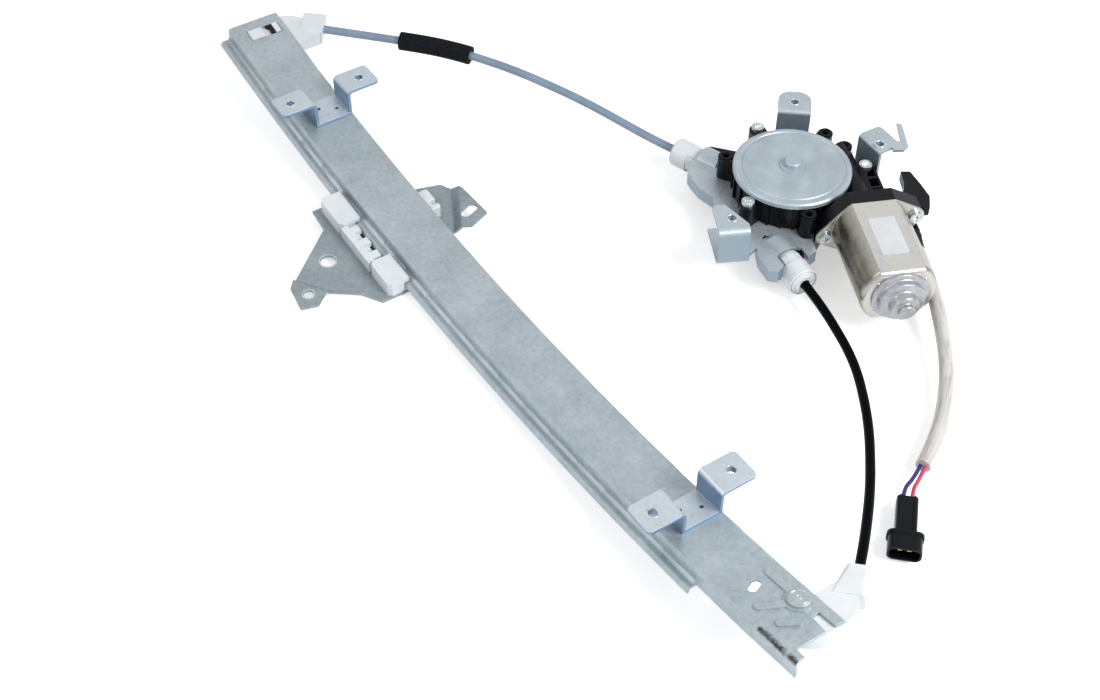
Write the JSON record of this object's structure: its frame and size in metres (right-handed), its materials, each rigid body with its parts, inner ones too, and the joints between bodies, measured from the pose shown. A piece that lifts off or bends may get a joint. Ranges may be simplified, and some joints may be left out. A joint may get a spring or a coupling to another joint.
{
  "type": "window regulator",
  "caption": "Cable window regulator for a car door: curved steel rail with sliding glass carrier, two sheathed cables, and a worm-geared electric motor with a cable drum.",
  "frame": {"origin": "centre of the four threaded holes of the two rail brackets, on the brackets' mounting plane", "axes": "+Y up the rail towards its upper end, +Z out of the mounting plane towards the door's inside, +X from the rail to the motor"},
  "size_m": [0.3946, 0.6308, 0.0535],
  "materials": {
    "zinc_steel": "pressed zinc-plated steel",
    "white_nylon": "moulded white nylon",
    "black_sheath": "black cable sheath",
    "grey_sheath": "grey-blue cable sheath",
    "foam": "black foam tube",
    "black_plastic": "moulded black plastic",
    "grey_steel": "pressed steel disc",
    "passivated_steel": "yellowish zinc-passivated steel",
    "label_paper": "bare white label",
    "hardened_steel": "ground steel",
    "wheel_plastic": "moulded acetal",
    "damper_rubber": "soft rubber",
    "copper": "copper winding",
    "ferrite": "ferrite",
    "bronze": "sintered bronze",
    "carbon": "carbon",
    "clear_sleeve": "translucent white sleeve",
    "blue_insulation": "blue insulation",
    "red_insulation": "red insulation",
    "terminal_brass": "plated brass"
  },
  "bodies": {
    "frame": {"blue_wire": "blue_insulation", "brush_card": "black_plastic", "brushes": "carbon", "drum_cover": "black_plastic", "foam_sleeve": "foam", "gear_cover": "grey_steel", "gear_housing": "black_plastic", "guide_rail": "zinc_steel", "guide_rivet": "zinc_steel", "lead_sleeve": "clear_sleeve", "lower_bracket": "zinc_steel", "lower_cable": "hardened_steel", "lower_cable_guide": "white_nylon", "lower_conduit": "black_sheath", "lower_ferrule": "white_nylon", "magnets": "ferrite", "motor_can": "passivated_steel", "motor_label": "label_paper", "motor_screws": "zinc_steel", "mounting_plate": "zinc_steel", "plate_screws": "zinc_steel", "plug_housing": "black_plastic", "plug_seal": "damper_rubber", "plug_terminals": "terminal_brass", "rear_bush": "bronze", "red_wire": "red_insulation", "tension_springs": "hardened_steel", "upper_bracket": "zinc_steel", "upper_cable": "hardened_steel", "upper_cable_guide": "white_nylon", "upper_conduit": "grey_sheath", "upper_ferrule": "white_nylon", "worm_bushes": "bronze"},
    "drum": {"cable_drum": "white_nylon", "wound_wire": "hardened_steel", "output_shaft": "hardened_steel", "worm_wheel": "wheel_plastic", "dampers": "damper_rubber", "drive_hub": "zinc_steel"},
    "armature": {"motor_shaft": "hardened_steel", "armature_core": "hardened_steel", "armature_coils": "copper", "commutator": "copper", "worm": "hardened_steel"},
    "carrier": {"carrier_plate": "zinc_steel", "upper_slider": "white_nylon", "lower_slider": "white_nylon", "slider_bar": "white_nylon", "side_glide": "white_nylon", "cable_anchor": "black_plastic", "cable_nipples": "hardened_steel"}
  },
  "joints": [
    {"name": "armature_spin", "type": "hinge", "parent": "frame", "child": "armature", "pos_m": [0.25018, -0.04146, -0.0153], "axis": [-0.4147, -0.91, 0], "range_deg": [-42673, 19397]},
    {"name": "drum_spin", "type": "hinge", "parent": "frame", "child": "drum", "pos_m": [0.2156, -0.0257, 0], "axis": [0, 0, 1], "range_deg": [-656.51, 298.42]},
    {"name": "carrier_travel", "type": "hinge", "parent": "frame", "child": "carrier", "pos_m": [0, 0, 1.56868], "axis": [1, 0, 0], "range_deg": [-9.8, 4.46]}
  ],
  "couplings": [
    {"joint": "drum_spin", "follows": "armature_spin", "ratio": 0.015385},
    {"joint": "carrier_travel", "follows": "armature_spin", "ratio": 0.00022976}
  ]
}
